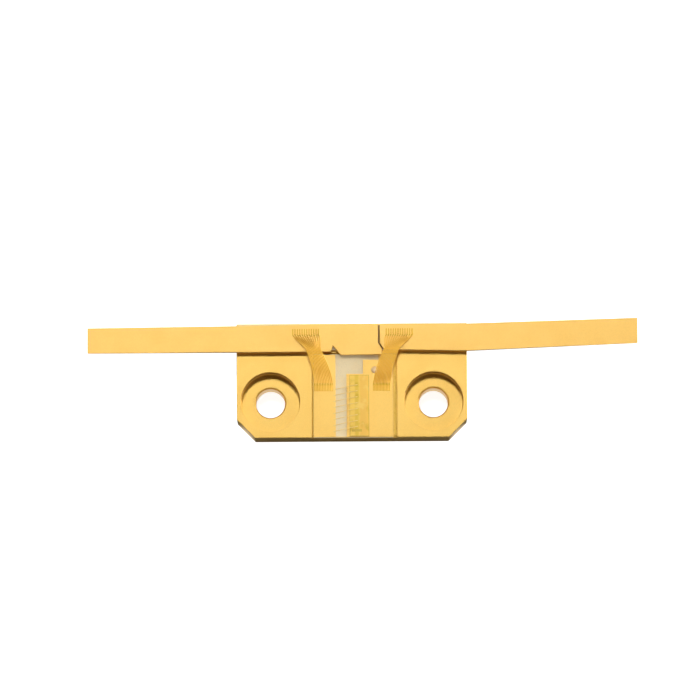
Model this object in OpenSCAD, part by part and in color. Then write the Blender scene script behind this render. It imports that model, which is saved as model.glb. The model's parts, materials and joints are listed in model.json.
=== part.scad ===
// Edge-emitting laser diode on an open mount: a gold-plated copper block with two
// counterbored screw holes carries a ceramic submount with the chip, and a ceramic
// insulator with two flat ribbon leads. Fans of bond wires join the leads to the submount.
//
// Origin: on the block's base plane, midway between the two screw hole axes.
// +X runs along the leads, +Y from the emitting face to the leads, +Z up.
// All sizes are in millimetres.

/* [Block] */
// Width of the block, along the leads
block_w = 12.7; // [12.6:0.1:16]
// Depth of the block, from the emitting face to the back
block_d = 6.3; // [6.25:0.05:7.5]
// Height of the block
block_h = 2.5; // [1.6:0.1:5]
// Leg of the bevel on each front corner
corner_bevel = 1.0; // [0.2:0.05:1.1]

/* [Screw holes] */
// Distance between the two screw hole axes
hole_spacing = 9.0; // [8.7:0.1:9.2]
// Distance from the emitting face back to the hole axes
hole_setback = 1.99; // [1.75:0.01:2.4]
// Diameter of the screw holes
screw_hole_d = 1.6; // [1.2:0.05:2.4]
// Diameter of the counterbores
counterbore_d = 3.25; // [2.8:0.05:3.3]
// Depth of the counterbores
counterbore_depth = 0.9; // [0.4:0.05:1.2]
// Edge break where each screw hole meets its counterbore
hole_break = 0.06; // [0.02:0.01:0.12]

/* [Submount seat] */
// Depth of the seat below the block's top
seat_depth = 0.3; // [0.1:0.02:0.6]
// Gap between the submount and the seat's left wall
seat_gap_left = 0.05; // [0.02:0.01:0.15]
// Gap between the submount and the seat's right wall
seat_gap_right = 0.2; // [0.02:0.01:0.25]
// Gap between the submount and the seat's back wall
seat_gap_back = 0.04; // [0.02:0.01:0.06]

/* [Submount] */
// Thickness of the ceramic
submount_t = 0.38; // [0.25:0.01:0.5]
// Sideways offset of the submount's centre from the block's
submount_shift = 0.07; // [0:0.01:0.08]
// Thickness of the gold pads on the submount
pad_t = 0.02; // [0.01:0.005:0.04]
// Ceramic margin left bare round the pads
pad_margin = 0.03; // [0.01:0.01:0.08]
// Width of the bare ceramic strip between the two pads
bare_strip_w = 0.6; // [0.4:0.05:0.7]
// Width of the chip pad behind the chip
chip_pad_arm_w = 1.63; // [1.5:0.01:1.7]
// Distance from the chip's back end to the step in the chip pad
chip_pad_step = 0.07; // [0.03:0.01:0.2]
// Bare ceramic behind the chip pad's arm
chip_pad_arm_gap = 0.32; // [0.1:0.01:0.4]

/* [Laser chip] */
// Width of the chip
chip_w = 1.08; // [0.6:0.02:1.2]
// Length of the chip, along the beam
chip_l = 3.39; // [2.85:0.02:3.41]
// Thickness of the chip
chip_t = 0.12; // [0.08:0.01:0.2]
// Distance from the submount's front edge back to the chip's front facet
chip_setback = 0.04; // [0.035:0.005:0.1]
// Distance from the chip pad's left edge to the chip
chip_inset = 0.16; // [0.05:0.01:0.2]
// Distance from the chip to the nearest wire of the right fan
chip_fan_gap = 0.25; // [0.2:0.01:0.4]
// Thickness of the gold contact on the chip
contact_t = 0.01; // [0.006:0.002:0.02]
// Bare margin round the contact
contact_margin = 0.03; // [0.01:0.005:0.05]
// Width of the ridge on the contact
ridge_w = 0.2; // [0.1:0.01:0.3]
// Height of the ridge above the contact
ridge_h = 0.012; // [0.006:0.002:0.03]
// Distance from the chip's left edge to the ridge's centre line
ridge_offset = 0.4; // [0.3:0.01:0.45]
// Width of the window in the contact near the front facet
window_w = 0.55; // [0.2:0.01:0.56]
// Length of the window, along the beam
window_l = 0.13; // [0.05:0.01:0.2]
// Distance from the front facet back to the window
window_setback = 0.25; // [0.1:0.01:0.4]

/* [Insulator and leads] */
// Thickness of the ceramic insulator
insulator_t = 0.25; // [0.15:0.01:0.6]
// Depth of the insulator, front to back
insulator_d = 1.38; // [1.2:0.01:1.5]
// Gap between the submount's back edge and the insulator
insulator_gap = 0.23; // [0.2:0.01:0.5]
// Distance from each side of the block to the insulator's end
insulator_inset = 0.05; // [0:0.01:0.3]
// Distance from the block's back to the leads' and the insulator's back edge
lead_back_inset = 0.09; // [0.02:0.01:0.12]
// Thickness of the leads
lead_t = 0.25; // [0.1:0.01:0.5]
// Width of the left lead over the block
left_lead_w = 1.52; // [1.4:0.01:1.56]
// Width of the right lead at its inner end
right_lead_w = 1.4; // [1.3:0.01:1.52]
// Width of the right lead where it leaves the block
right_lead_exit_w = 1.5; // [1.4:0.01:1.56]
// Width of both leads at their tips
lead_tip_w = 1.39; // [0.8:0.01:1.5]
// Length of the left lead beyond the block's side
left_lead_free = 8.2; // [4:0.1:14]
// Length of the right lead beyond the block's side
right_lead_free = 9.4; // [4:0.1:14]
// Angle by which the left lead's free end leans forward, in degrees
left_lead_lean = 1.0; // [0:0.1:2]
// Angle by which the right lead's free end leans back, in degrees
right_lead_lean = 1.6; // [0:0.1:3]
// Width of the slit between the two leads
slit_w = 0.1; // [0.06:0.01:0.2]
// Distance from the block's middle to the slit
slit_x = 1.5; // [1.4:0.01:1.56]
// Sideways run of the slit's slanted part
slit_slant_x = 0.22; // [0:0.01:0.24]
// Length of the slit's slanted part, along Y
slit_slant_y = 0.33; // [0.2:0.01:0.36]
// Length of the slit's last straight part, at the right lead's front edge
slit_mouth = 0.03; // [0.01:0.01:0.2]
// Distance that the tongue reaches over the submount's back edge
tongue_overlap = 0.09; // [0.02:0.01:0.2]
// Distance from the block's middle to the tongue's left front corner
tongue_left_x = 0.61; // [0.4:0.01:0.75]
// Distance from the block's middle to the nick's inner end
nick_x = 1.03; // [0.9:0.01:1.1]
// Width of the nick beside the tongue
nick_w = 0.12; // [0.06:0.01:0.2]
// Depth of the nick
nick_depth = 0.32; // [0.2:0.01:0.5]

/* [Solder] */
// Thickness of each solder film
solder_t = 0.02; // [0.01:0.005:0.04]
// Margin by which each solder film stays inside the piece that it carries
solder_margin = 0.03; // [0.01:0.01:0.06]
// Diameter of the solder bead
bead_d = 0.4; // [0.3:0.01:0.44]
// Height of the solder bead
bead_h = 0.11; // [0.05:0.01:0.13]
// Distance from the submount's middle to the bead
bead_x = 1.19; // [1.1:0.01:1.22]
// Distance from the submount's back edge to the bead
bead_setback = 0.88; // [0.6:0.01:0.92]

/* [Wire fans] */
// Number of wires in each fan
fan_wires = 12; // [6:1:12]
// Diameter of the fans' wires
fan_wire_d = 0.05; // [0.03:0.005:0.055]
// Length of each wire's bonded foot
foot_l = 0.34; // [0.2:0.01:0.36]
// Distance from the leads' back edge to the feet's back ends
lead_foot_inset = 0.24; // [0.12:0.01:0.3]
// Distance from the submount's back edge to the feet's heels
pad_foot_setback = 1.71; // [1.5:0.01:1.9]
// Distance from the block's middle to the left fan's centre on its lead
left_fan_x = 2.53; // [2.3:0.01:2.8]
// Distance from the block's middle to the right fan's centre on its lead
right_fan_x = 2.62; // [2.58:0.01:2.8]
// Gap between neighbouring feet on a lead
lead_foot_gap = 0.054; // [0.01:0.002:0.06]
// Gap between neighbouring wires at a fan's waist
waist_gap = 0.021; // [0.015:0.001:0.05]
// Gap between neighbouring feet on the left pad
left_foot_gap = 0.013; // [0.005:0.001:0.02]
// Gap between neighbouring feet on the chip pad
right_foot_gap = 0.005; // [0.003:0.001:0.02]
// Distance from the left pad's outer edge to the nearest wire
left_fan_margin = 0.05; // [0.04:0.01:0.1]
// Distance from the chip pad's outer edge to the nearest wire
right_fan_margin = 0.17; // [0.06:0.01:0.2]
// Distance from the left fan's nearest wire to the ends of the chip wires
chip_wire_gap = 0.067; // [0.05:0.001:0.2]
// Height of the wires' loops above a straight run
fan_loop_h = 0.42; // [0.3:0.01:0.8]

/* [Chip wires] */
// Number of wires from the chip to the left pad
chip_wires = 8; // [2:1:8]
// Diameter of the chip wires
chip_wire_d = 0.03; // [0.018:0.002:0.036]
// Length of each chip wire's bonded foot
chip_foot_l = 0.1; // [0.06:0.01:0.11]
// Distance from the chip's back end to the first wire
chip_wire_back = 0.56; // [0.3:0.01:0.8]
// Distance from the chip's front facet to the last wire
chip_wire_front = 0.52; // [0.4:0.01:0.8]
// Distance from the left pad's inner edge to the wires' heels
chip_wire_margin = 0.015; // [0.01:0.001:0.02]
// Distance by which each wire's end on the pad lies nearer to the emitting face
chip_wire_slant = 0.22; // [0:0.01:0.24]
// Height of the chip wires' loops above a straight run
chip_loop_h = 0.14; // [0.1:0.01:0.3]

/* [Hidden] */
$fn = 96;

// Small length by which a cut runs past the surface that it opens
cut = 0.05;

// Block
front_y = -hole_setback;
back_y = front_y + block_d;
side_x = block_w / 2;

// Straight pieces along a loop, and sides round a wire
fan_steps = 18;
fan_sides = 8;
chip_steps = 8;
chip_sides = 6;
// Height and width of a bonded foot, as shares of the wire's diameter
foot_flat = 0.6;
foot_wide = 1.5;
// Where a fan is narrowest, from 0 at the lead to 1 at the pad
waist_at = 0.32;
// How fast a fan turns from its lead towards its pad: 1 is a straight run
fan_bend = 1.6;
// How far a loop leans towards its higher end: 1 is even
loop_skew = 0.85;

// Width of a fan's foot
foot_w = fan_wire_d * foot_wide;

// Distance from the first to the last of a row of things at an even pitch
function row_span(count, pitch) = pitch * (count - 1);

fan_lead_span = row_span(fan_wires, foot_w + lead_foot_gap);
fan_waist_span = row_span(fan_wires, fan_wire_d + waist_gap);
left_fan_pad_span = row_span(fan_wires, foot_w + left_foot_gap);
right_fan_pad_span = row_span(fan_wires, foot_w + right_foot_gap);

// Pads side by side: each is as wide as what is bonded to it
left_pad_w = left_fan_margin + left_fan_pad_span + chip_wire_gap + chip_foot_l + chip_wire_margin;
chip_pad_w = chip_inset + chip_w + chip_fan_gap + right_fan_pad_span + right_fan_margin;

// Submount in its seat
lead_back_y = back_y - lead_back_inset;
insulator_front_y = lead_back_y - insulator_d;
submount_back = insulator_front_y - insulator_gap;
submount_w = left_pad_w + bare_strip_w + chip_pad_w + 2 * pad_margin;
submount_left = submount_shift - submount_w / 2;
submount_right = submount_shift + submount_w / 2;
seat_left = submount_left - seat_gap_left;
seat_right = submount_right + seat_gap_right;
seat_back = submount_back + seat_gap_back;
seat_z = block_h - seat_depth;
submount_z = seat_z + solder_t;
pad_z = submount_z + submount_t;
pad_top = pad_z + pad_t;

// Pads
pad_front = front_y + pad_margin;
pad_back = submount_back - pad_margin;
left_pad_left = submount_left + pad_margin;
left_pad_right = left_pad_left + left_pad_w;
chip_pad_left = left_pad_right + bare_strip_w;
chip_pad_right = chip_pad_left + chip_pad_w;
chip_pad_arm_left = chip_pad_right - chip_pad_arm_w;

// Chip
chip_left = chip_pad_left + chip_inset;
chip_front = front_y + chip_setback;
chip_back = chip_front + chip_l;
chip_pad_step_y = chip_back + chip_pad_step;
chip_pad_arm_back = submount_back - chip_pad_arm_gap;
chip_z = pad_top + solder_t;
contact_z = chip_z + chip_t;
ridge_x = chip_left + ridge_offset;
ridge_top = contact_z + contact_t + ridge_h;

// Insulator and leads
insulator_z = block_h + solder_t;
lead_z = insulator_z + insulator_t + solder_t;
lead_top = lead_z + lead_t;
left_lead_front_y = lead_back_y - left_lead_w;
right_lead_front_y = lead_back_y - right_lead_w;
tongue_front_y = submount_back - tongue_overlap;
slit_end_y = right_lead_front_y + slit_mouth;
slit_turn_y = slit_end_y + slit_slant_y;

// Wires between what they join
lead_heel_y = lead_back_y - lead_foot_inset - foot_l;
pad_heel_y = submount_back - pad_foot_setback;
left_fan_pad_x = left_pad_left + left_fan_margin + left_fan_pad_span / 2;
right_fan_pad_x = chip_pad_right - right_fan_margin - right_fan_pad_span / 2;
chip_wire_pitch = (chip_l - chip_wire_back - chip_wire_front) / (chip_wires - 1);

function two_digits(i) = i < 10 ? str("0", i) : str(i);
function wire_names(base, count) = [for (i = [1:count]) str(base, two_digits(i))];

// Colours
gold = "#E8BE62";
wire_gold = "#D8A23C";
ceramic = "#EFE9DC";
solder_grey = "#B9B7AE";
die_grey = "#6E6A5C";
contact_gold = "#C9A94F";

// A flat plate between two corners, from z up by t.
module plate(x0, y0, x1, y1, z, t) {
    translate([x0, y0, z]) cube([x1 - x0, y1 - y0, t]);
}

// ---------- Block ----------

// The block's outline from above, with its two front corners cut off.
module block_outline() {
    polygon([
        [-side_x + corner_bevel, front_y],
        [side_x - corner_bevel, front_y],
        [side_x, front_y + corner_bevel],
        [side_x, back_y],
        [-side_x, back_y],
        [-side_x, front_y + corner_bevel]
    ]);
}

// One screw hole with its counterbore and the broken edge between them.
module screw_hole() {
    floor_z = block_h - counterbore_depth;
    translate([0, 0, -cut]) cylinder(d = screw_hole_d, h = block_h + 2 * cut);
    translate([0, 0, floor_z - hole_break])
        cylinder(d1 = screw_hole_d, d2 = screw_hole_d + 2 * hole_break, h = hole_break);
    translate([0, 0, floor_z]) cylinder(d = counterbore_d, h = counterbore_depth + cut);
}

module heat_sink_block() {
    color(gold) difference() {
        linear_extrude(block_h) block_outline();
        for (side = [-1, 1]) translate([side * hole_spacing / 2, 0, 0]) screw_hole();
        plate(seat_left, front_y - cut, seat_right, seat_back, seat_z, seat_depth + cut);
    }
}

// ---------- Insulator and leads ----------

module insulator_solder() {
    x = side_x - insulator_inset - solder_margin;
    color(solder_grey)
        plate(-x, insulator_front_y + solder_margin, x, lead_back_y - solder_margin, block_h, solder_t);
}

module lead_insulator() {
    x = side_x - insulator_inset;
    color(ceramic) plate(-x, insulator_front_y, x, lead_back_y, insulator_z, insulator_t);
}

// Solder between the insulator and a lead, from x0 to x1.
module lead_solder(x0, x1, front) {
    solder_z = insulator_z + insulator_t;
    color(solder_grey)
        plate(x0, front + solder_margin, x1, lead_back_y - solder_margin, solder_z, solder_t);
}

// The left lead's solder stays behind the nick, where the ceramic shows.
module left_lead_solder() {
    lead_solder(
        -side_x + insulator_inset + solder_margin,
        slit_x - slit_w / 2 - solder_margin,
        max(insulator_front_y, left_lead_front_y + nick_depth)
    );
}

module right_lead_solder() {
    lead_solder(
        slit_x + slit_w / 2 + slit_slant_x + solder_margin,
        side_x - insulator_inset - solder_margin,
        max(insulator_front_y, right_lead_front_y)
    );
}

// The edge of the slit, from the leads' back edge forward to y_end.
// side is -1 for the left lead's edge and 1 for the right lead's.
function slit_edge(side, y_end) = [
    [slit_x + side * slit_w / 2, lead_back_y],
    [slit_x + side * slit_w / 2, slit_turn_y],
    [slit_x + side * slit_w / 2 + slit_slant_x, slit_end_y],
    [slit_x + side * slit_w / 2 + slit_slant_x, y_end]
];

module left_lead() {
    tip_x = -side_x - left_lead_free;
    tip_y = lead_back_y - left_lead_free * tan(left_lead_lean);
    color(gold) translate([0, 0, lead_z]) linear_extrude(lead_t) polygon(concat(
        slit_edge(-1, tongue_front_y),
        [
            [-tongue_left_x, tongue_front_y],
            [-nick_x, left_lead_front_y + nick_depth],
            [-nick_x - nick_w, left_lead_front_y],
            [-side_x, left_lead_front_y],
            [tip_x, tip_y - lead_tip_w],
            [tip_x, tip_y],
            [-side_x, lead_back_y]
        ]
    ));
}

module right_lead() {
    tip_x = side_x + right_lead_free;
    tip_y = lead_back_y + right_lead_free * tan(right_lead_lean);
    color(gold) translate([0, 0, lead_z]) linear_extrude(lead_t) polygon(concat(
        slit_edge(1, right_lead_front_y),
        [
            [side_x, lead_back_y - right_lead_exit_w],
            [tip_x, tip_y - lead_tip_w],
            [tip_x, tip_y],
            [side_x, lead_back_y]
        ]
    ));
}

// ---------- Submount and chip ----------

module submount_solder() {
    color(solder_grey) plate(
        submount_left + solder_margin, front_y + solder_margin,
        submount_right - solder_margin, submount_back - solder_margin,
        seat_z, solder_t
    );
}

module submount() {
    color(ceramic) plate(submount_left, front_y, submount_right, submount_back, submount_z, submount_t);
}

module left_pad() {
    color(gold) plate(left_pad_left, pad_front, left_pad_right, pad_back, pad_z, pad_t);
}

module chip_pad() {
    color(gold) translate([0, 0, pad_z]) linear_extrude(pad_t) polygon([
        [chip_pad_left, pad_front],
        [chip_pad_right, pad_front],
        [chip_pad_right, chip_pad_arm_back],
        [chip_pad_arm_left, chip_pad_arm_back],
        [chip_pad_arm_left, chip_pad_step_y],
        [chip_pad_left, chip_pad_step_y]
    ]);
}

module chip_solder() {
    color(solder_grey) plate(
        chip_left + solder_margin / 2, chip_front + solder_margin / 2,
        chip_left + chip_w - solder_margin / 2, chip_back - solder_margin / 2,
        pad_top, solder_t
    );
}

module laser_chip() {
    color(die_grey) plate(chip_left, chip_front, chip_left + chip_w, chip_back, chip_z, chip_t);
}

// The gold contact with its ridge and the window near the front facet.
module chip_contact() {
    window_y = chip_front + window_setback;
    color(contact_gold) difference() {
        union() {
            plate(
                chip_left + contact_margin, chip_front + contact_margin,
                chip_left + chip_w - contact_margin, chip_back - contact_margin,
                contact_z, contact_t
            );
            plate(
                ridge_x - ridge_w / 2, window_y + window_l,
                ridge_x + ridge_w / 2, chip_back - 2 * contact_margin,
                contact_z, contact_t + ridge_h
            );
        }
        plate(
            ridge_x - window_w / 2, window_y, ridge_x + window_w / 2, window_y + window_l,
            contact_z - cut, contact_t + ridge_h + 2 * cut
        );
    }
}

// A round cap of a sphere, flat side down.
module solder_bead() {
    r = (bead_d * bead_d / 4 + bead_h * bead_h) / (2 * bead_h);
    color(solder_grey) translate([submount_shift + bead_x, submount_back - bead_setback, pad_top])
        intersection() {
            translate([0, 0, bead_h - r]) sphere(r = r);
            cylinder(d = bead_d + cut, h = bead_h + cut);
        }
}

// ---------- Bond wires ----------

function mix(a, b, t) = a + (b - a) * t;
function smooth(t) = t * t * (3 - 2 * t);
function unit(v) = v / norm(v);

// Height of a wire loop over its straight run at t, from 0 at one heel to 0 at the other.
function loop_rise(t) = sin(180 * pow(t, loop_skew));

// Width of a fan at t: it narrows from the lead to a waist and widens to the pad.
function fan_span(t, pad_span) = t < waist_at
    ? mix(fan_lead_span, fan_waist_span, smooth(t / waist_at))
    : mix(fan_waist_span, pad_span, smooth((t - waist_at) / (1 - waist_at)));

// Points of a wire's centre line: a foot, the loop and a foot. heel_a and heel_b are the
// inner ends of the feet, foot_a and foot_b the outer ends, and loop the points between.
function wire_line(foot_a, heel_a, loop, heel_b, foot_b) = concat([foot_a, heel_a], loop, [heel_b, foot_b]);

// Ring of points round a centre line at p, with a flat side down. The wire there runs along dir.
function ring(p, dir, sides, r_side, r_up) =
    let (
        side = unit(cross(dir, [0, 0, 1])),
        up = cross(side, dir)
    )
    [for (k = [0:sides - 1])
        let (a = (k + 0.5) * 360 / sides - 90)
        p + side * r_side * cos(a) + up * r_up * sin(a)];

// Direction of the line at point i: level along the feet, and the mean of the two
// neighbouring runs on the loop.
function line_dir(line, i) =
    let (last = len(line) - 1)
    i <= 1 ? unit(line[1] - line[0])
    : i >= last - 1 ? unit(line[last] - line[last - 1])
    : unit(unit(line[i] - line[i - 1]) + unit(line[i + 1] - line[i]));

// A round wire swept along a line, with a flattened foot at each end.
module bond_wire(line, d, sides) {
    last = len(line) - 1;
    rings = [for (i = [0:last])
        let (foot = i <= 1 || i >= last - 1)
        each ring(
            line[i], line_dir(line, i), sides,
            d / 2 * (foot ? foot_wide : 1),
            d / 2 * (foot ? foot_flat : 1)
        )];
    walls = [for (i = [0:last - 1], k = [0:sides - 1])
        let (
            a = i * sides + k,
            b = i * sides + (k + 1) % sides,
            c = a + sides,
            e = b + sides
        )
        each [[a, b, e], [a, e, c]]];
    ends = concat(
        [[for (k = [sides - 1:-1:0]) k]],
        [[for (k = [0:sides - 1]) last * sides + k]]
    );
    color(wire_gold) polyhedron(points = rings, faces = concat(walls, ends), convexity = 4);
}

// Height of a foot's centre line above what it is bonded to.
function foot_rise(d, sides) = d / 2 * foot_flat * cos(180 / sides);

// Wire i of the fan that is centred at lead_x on its lead and at pad_x on its pad.
module fan_wire(lead_x, pad_x, pad_span, i) {
    place = (i - 1) / (fan_wires - 1) - 0.5;
    rise = foot_rise(fan_wire_d, fan_sides);
    z_a = lead_top + rise;
    z_b = pad_top + rise;
    function across(t) = mix(pad_x, lead_x, pow(1 - t, fan_bend)) + place * fan_span(t, pad_span);
    loop = [for (s = [1:fan_steps - 1])
        let (t = s / fan_steps)
        [across(t), mix(lead_heel_y, pad_heel_y, t), mix(z_a, z_b, t) + fan_loop_h * loop_rise(t)]];
    bond_wire(
        wire_line(
            [across(0), lead_heel_y + foot_l, z_a],
            [across(0), lead_heel_y, z_a],
            loop,
            [across(1), pad_heel_y, z_b],
            [across(1), pad_heel_y - foot_l, z_b]
        ),
        fan_wire_d, fan_sides
    );
}

module left_wire(i) {
    fan_wire(-left_fan_x, left_fan_pad_x, left_fan_pad_span, i);
}

module right_wire(i) {
    fan_wire(right_fan_x, right_fan_pad_x, right_fan_pad_span, i);
}

// Chip wire i, from the ridge over the bare strip to the left pad.
module chip_wire(i) {
    rise = foot_rise(chip_wire_d, chip_sides);
    y_a = chip_back - chip_wire_back - (i - 1) * chip_wire_pitch;
    heel_a = [ridge_x - chip_foot_l / 2, y_a, ridge_top + rise];
    heel_b = [left_pad_right - chip_wire_margin, y_a - chip_wire_slant, pad_top + rise];
    run = heel_b - heel_a;
    along = unit([run[0], run[1], 0]);
    loop = [for (s = [1:chip_steps - 1])
        let (t = s / chip_steps)
        heel_a + run * t + [0, 0, chip_loop_h * loop_rise(t)]];
    bond_wire(
        wire_line(heel_a - along * chip_foot_l, heel_a, loop, heel_b, heel_b + along * chip_foot_l),
        chip_wire_d, chip_sides
    );
}

heat_sink_block();
insulator_solder();
lead_insulator();
left_lead_solder();
right_lead_solder();
left_lead();
right_lead();
submount_solder();
submount();
left_pad();
chip_pad();
chip_solder();
laser_chip();
chip_contact();
solder_bead();
for (i = [1:fan_wires]) {
    left_wire(i);
    right_wire(i);
}
for (i = [1:chip_wires]) {
    chip_wire(i);
}
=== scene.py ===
"""Looks of an open-mount laser diode.

A gold-plated copper block with two counterbored screw holes carries a ceramic submount with
the laser chip, and a ceramic insulator with two flat ribbon leads. Fans of bond wires join
the leads to the submount's pads, and short wires join the chip to the left pad.

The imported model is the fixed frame: +X runs along the leads, +Y from the emitting face to
the leads, +Z up, and z = 0 is the block's base. Lengths are metres unless a name ends in _mm.
"""

import json
import logging
import math
from dataclasses import dataclass, field
from enum import Enum
from typing import Callable, Iterable, Optional, Sequence, Union

import bmesh
import bpy
from bpy.types import Material, Object
from mathutils import Matrix, Vector

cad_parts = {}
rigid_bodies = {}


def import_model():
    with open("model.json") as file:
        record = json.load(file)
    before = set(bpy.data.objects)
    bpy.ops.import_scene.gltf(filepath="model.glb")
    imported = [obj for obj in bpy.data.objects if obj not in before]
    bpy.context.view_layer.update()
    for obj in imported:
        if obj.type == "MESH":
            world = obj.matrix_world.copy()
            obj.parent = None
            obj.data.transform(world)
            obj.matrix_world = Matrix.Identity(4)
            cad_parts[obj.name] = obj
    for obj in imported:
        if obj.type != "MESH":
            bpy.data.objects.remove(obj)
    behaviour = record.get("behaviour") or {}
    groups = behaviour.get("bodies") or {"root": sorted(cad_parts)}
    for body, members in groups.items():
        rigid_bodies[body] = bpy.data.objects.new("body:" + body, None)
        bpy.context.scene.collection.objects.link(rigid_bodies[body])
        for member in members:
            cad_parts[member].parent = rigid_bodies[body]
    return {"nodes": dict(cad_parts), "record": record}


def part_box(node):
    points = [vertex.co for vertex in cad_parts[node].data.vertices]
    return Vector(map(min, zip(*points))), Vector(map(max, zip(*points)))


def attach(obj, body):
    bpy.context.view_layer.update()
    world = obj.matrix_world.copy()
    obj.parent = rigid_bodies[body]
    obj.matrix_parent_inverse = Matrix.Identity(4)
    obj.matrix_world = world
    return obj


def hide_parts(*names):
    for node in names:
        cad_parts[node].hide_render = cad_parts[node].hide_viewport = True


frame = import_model()

LOG = logging.getLogger("laser_diode")
MM = 0.001
BODY = "root"
LAMP_DISTANCE = 0.3

Colour = tuple[float, float, float]
Span = tuple[Vector, Vector]
Input = Union["Signal", float, Sequence[float]]


# Shader maths


def _operator(operation: str, reflected: bool = False) -> Callable[["Signal", Input], "Signal"]:
    """Returns the method of one arithmetic operator, which adds a Math node.

    Args:
        operation: the node's operation.
        reflected: whether the signal is the second operand.

    Returns:
        The method.
    """

    def method(self: "Signal", other: Input) -> "Signal":
        """Returns the operation's result."""
        first, second = (other, self) if reflected else (self, other)
        return self.sheet.add("ShaderNodeMath", {"operation": operation}, {0: first, 1: second})

    return method


class Signal:
    """A value that runs between a finish's nodes. Arithmetic on it adds Math nodes."""

    def __init__(self, sheet: "FinishSheet", socket: bpy.types.NodeSocket) -> None:
        """Wraps an output socket of a finish."""
        self.sheet = sheet
        self.socket = socket

    __add__, __radd__ = _operator("ADD"), _operator("ADD", True)
    __sub__, __rsub__ = _operator("SUBTRACT"), _operator("SUBTRACT", True)
    __mul__, __rmul__ = _operator("MULTIPLY"), _operator("MULTIPLY", True)

    def __abs__(self) -> "Signal":
        """Returns the absolute value."""
        return self.sheet.add("ShaderNodeMath", {"operation": "ABSOLUTE"}, {0: self})

    def between(self, low: float, high: float, low_to: float = 0.0, high_to: float = 1.0) -> "Signal":
        """Maps the value smoothly from one range to another, and holds it at the ends."""
        return self.sheet.add(
            "ShaderNodeMapRange",
            {"interpolation_type": "SMOOTHSTEP"},
            {"Value": self, "From Min": low, "From Max": high, "To Min": low_to, "To Max": high_to},
        )


class FinishSheet:
    """The node tree of one material, with a metal-or-plastic shader at its end."""

    def __init__(self, name: str) -> None:
        """Starts an empty material.

        Args:
            name: the material's name.
        """
        self.material = bpy.data.materials.new(name)
        self.material.use_nodes = True
        self.tree = self.material.node_tree
        self.tree.nodes.clear()
        self.shader = self.tree.nodes.new("ShaderNodeBsdfPrincipled")
        output = self.tree.nodes.new("ShaderNodeOutputMaterial")
        self.tree.links.new(self.shader.outputs["BSDF"], output.inputs["Surface"])

    def _feed(self, socket: bpy.types.NodeSocket, value: Input) -> None:
        """Links a signal to a socket, or sets the socket's own value."""
        if isinstance(value, Signal):
            self.tree.links.new(value.socket, socket)
        elif isinstance(value, (int, float)):
            socket.default_value = value
        elif socket.type == "RGBA":
            socket.default_value = (*value, 1.0)
        else:
            socket.default_value = tuple(value)

    def add(
        self,
        kind: str,
        settings: Optional[dict] = None,
        inputs: Optional[dict] = None,
        output: Union[int, str] = 0,
    ) -> Signal:
        """Adds a node of any kind.

        Args:
            kind: the node's type.
            settings: its settings, which are set first.
            inputs: value or signal of each socket, by name or number.
            output: which of its outputs to return.

        Returns:
            The chosen output.
        """
        node = self.tree.nodes.new(kind)
        for key, value in (settings or {}).items():
            setattr(node, key, value)
        for key, value in (inputs or {}).items():
            self._feed(node.inputs[key], value)
        return Signal(self, node.outputs[output])

    def place_mm(self, stretch: Sequence[float] = (1.0, 1.0, 1.0)) -> Signal:
        """Returns the place on the part in millimetres, times a factor for each axis."""
        inputs = {0: self.add("ShaderNodeTexCoord", output="Object"), 1: tuple(s / MM for s in stretch)}
        return self.add("ShaderNodeVectorMath", {"operation": "MULTIPLY"}, inputs)

    def axis(self, place: Signal, which: str) -> Signal:
        """Returns one axis of a vector."""
        return self.add("ShaderNodeSeparateXYZ", None, {"Vector": place}, which)

    def within(self, place: Signal, low: Vector, high: Vector, soft_mm: float = 0.006) -> Signal:
        """Returns 1 inside a box and 0 outside it.

        Args:
            place: where, in millimetres.
            low: the box's low corner, in metres.
            high: its high corner.
            soft_mm: width of the change at its faces.

        Returns:
            The mask.
        """
        inside: Input = 1.0
        for name, start, end in zip("XYZ", low, high):
            value = self.axis(place, name)
            middle, half = (start + end) / 2 / MM, (end - start) / 2 / MM
            inside = abs(value - middle).between(half - soft_mm, half + soft_mm, 1.0, 0.0) * inside
        return inside

    def noise(self, place: Signal, per_mm: float, detail: float = 3.0, rough: float = 0.5) -> Signal:
        """Returns soft noise from 0 to 1."""
        return self.add(
            "ShaderNodeTexNoise",
            {"noise_dimensions": "3D"},
            {"Vector": place, "Scale": per_mm, "Detail": detail, "Roughness": rough},
        )

    def cells(self, place: Signal, per_mm: float) -> Signal:
        """Returns each grain's own value, from 0 to 1, in a pattern of packed grains."""
        grid = {"Vector": place, "Scale": per_mm}
        return self.axis(self.add("ShaderNodeTexVoronoi", {"feature": "F1"}, grid, "Color"), "X")

    def blend(self, first: Input, second: Input, share: Input) -> Signal:
        """Mixes two colours."""
        return self.add("ShaderNodeMix", {"data_type": "RGBA"}, {0: share, 6: first, 7: second}, 2)

    def bump(self, height: Signal, depth_mm: float) -> Signal:
        """Returns the surface direction over a fine relief."""
        relief = {"Strength": 1.0, "Distance": depth_mm * MM, "Height": height}
        return self.add("ShaderNodeBump", None, relief)

    def finish(self, **inputs: Input) -> Material:
        """Sets the shader's sockets."""
        for key, value in inputs.items():
            self._feed(self.shader.inputs[key.replace("_", " ")], value)
        return self.material


# Finishes


class Grain(Enum):
    """How a plated surface was worked before it was plated."""

    MILLED = (0.5, 9.0, 4.0)
    ROLLED = (0.25, 12.0, 6.0)
    SPUTTERED = (7.0, 7.0, 7.0)


@dataclass(frozen=True)
class Finish:
    """What every finish has.

    Args:
        name: the material's name.
        tone: its colour.
        deep: its colour in the darker patches, streaks, grains or clouds.
    """

    name: str
    tone: Colour
    deep: Colour


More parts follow.
